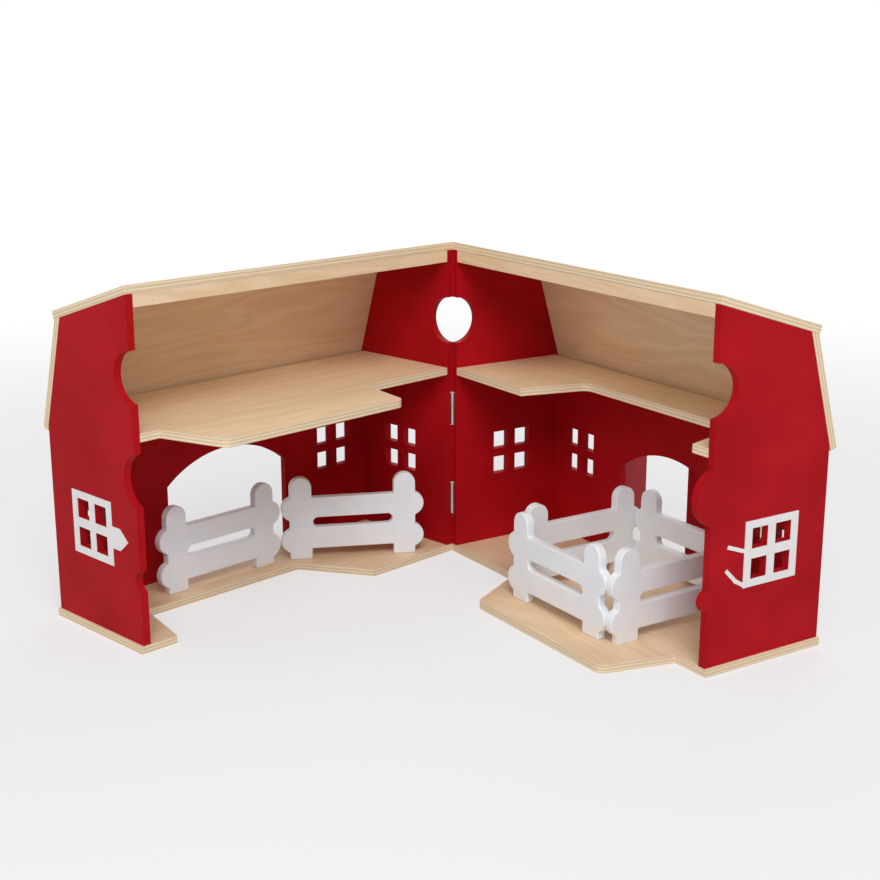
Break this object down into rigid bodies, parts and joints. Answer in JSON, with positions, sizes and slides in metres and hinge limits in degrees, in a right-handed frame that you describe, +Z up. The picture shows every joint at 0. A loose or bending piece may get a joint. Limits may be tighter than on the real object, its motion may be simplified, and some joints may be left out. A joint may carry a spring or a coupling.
{
  "type": "toy barn",
  "caption": "Wooden toy barn split along its ridge into two hinged halves, folded half open, with lofts, arched double doors and white fence panels.",
  "frame": {"origin": "centre of the part's bounding box, on the ground under the floor boards", "axes": "+X towards the right half as seen from the open side, +Y towards the fold hinges at the back, +Z up"},
  "size_m": [0.5656, 0.3348, 0.2598],
  "materials": {
    "painted_wall": "smooth red paint",
    "bare_wood": "bare plywood, lightly sanded",
    "red_leaf": "smooth red paint",
    "fence_white": "smooth white paint",
    "print_white": "printed white paint",
    "hinge_metal": "plated sheet",
    "screw_metal": "plated steel"
  },
  "bodies": {
    "left_half": {"left_floor": "bare_wood", "left_hinge_gable": "painted_wall", "left_outer_gable": "painted_wall", "left_long_wall": "painted_wall", "left_roof_lower": "bare_wood", "left_roof_upper": "bare_wood", "left_ridge_batten": "bare_wood", "left_loft": "bare_wood", "left_wall_windows": "print_white", "left_hinge_gable_window": "print_white", "left_outer_gable_window": "print_white", "left_roof_screws": "screw_metal", "left_fold_screws": "screw_metal", "left_near_wall_plates": "hinge_metal", "left_near_door_pins": "screw_metal", "left_far_wall_plates": "hinge_metal", "left_far_door_pins": "screw_metal", "lower_fold_hinge_left": "hinge_metal", "upper_fold_hinge_left": "hinge_metal", "fold_pins": "screw_metal", "row_fence": "fence_white", "slant_fence": "fence_white"},
    "right_half": {"right_floor": "bare_wood", "right_hinge_gable": "painted_wall", "right_outer_gable": "painted_wall", "right_long_wall": "painted_wall", "right_roof_lower": "bare_wood", "right_roof_upper": "bare_wood", "right_ridge_batten": "bare_wood", "right_loft": "bare_wood", "right_wall_windows": "print_white", "right_hinge_gable_window": "print_white", "right_outer_gable_window": "print_white", "right_roof_screws": "screw_metal", "right_fold_screws": "screw_metal", "right_near_wall_plates": "hinge_metal", "right_near_door_pins": "screw_metal", "right_far_wall_plates": "hinge_metal", "right_far_door_pins": "screw_metal", "lower_fold_hinge_right": "hinge_metal", "upper_fold_hinge_right": "hinge_metal", "pen_front_fence": "fence_white", "pen_outer_fence": "fence_white", "pen_wall_fence": "fence_white", "pen_inner_fence": "fence_white"},
    "left_near_door": {"left_near_door": "red_leaf", "left_near_door_print": "print_white", "left_near_door_plates": "hinge_metal"},
    "left_far_door": {"left_far_door": "red_leaf", "left_far_door_print": "print_white", "left_far_door_plates": "hinge_metal"},
    "right_near_door": {"right_near_door": "red_leaf", "right_near_door_print": "print_white", "right_near_door_plates": "hinge_metal"},
    "right_far_door": {"right_far_door": "red_leaf", "right_far_door_print": "print_white", "right_far_door_plates": "hinge_metal"}
  },
  "joints": [
    {"name": "barn_fold", "type": "hinge", "parent": "left_half", "child": "right_half", "pos_m": [0.00118, 0.08346, 0.0845], "axis": [0, 0, 1], "range_deg": [-77, 101]},
    {"name": "left_near_door_swing", "type": "hinge", "parent": "left_half", "child": "left_near_door", "pos_m": [-0.13234, 0.09071, 0.0445], "axis": [0, 0, -1], "range_deg": [-135, 15]},
    {"name": "left_far_door_swing", "type": "hinge", "parent": "left_half", "child": "left_far_door", "pos_m": [-0.22908, -0.03091, 0.0445], "axis": [0, 0, 1], "range_deg": [-80, 70]},
    {"name": "right_near_door_swing", "type": "hinge", "parent": "right_half", "child": "right_near_door", "pos_m": [0.1347, 0.09071, 0.0445], "axis": [0, 0, 1], "range_deg": [-120, 30]},
    {"name": "right_far_door_swing", "type": "hinge", "parent": "right_half", "child": "right_far_door", "pos_m": [0.23144, -0.03091, 0.0445], "axis": [0, 0, -1], "range_deg": [-8, 142]}
  ]
}
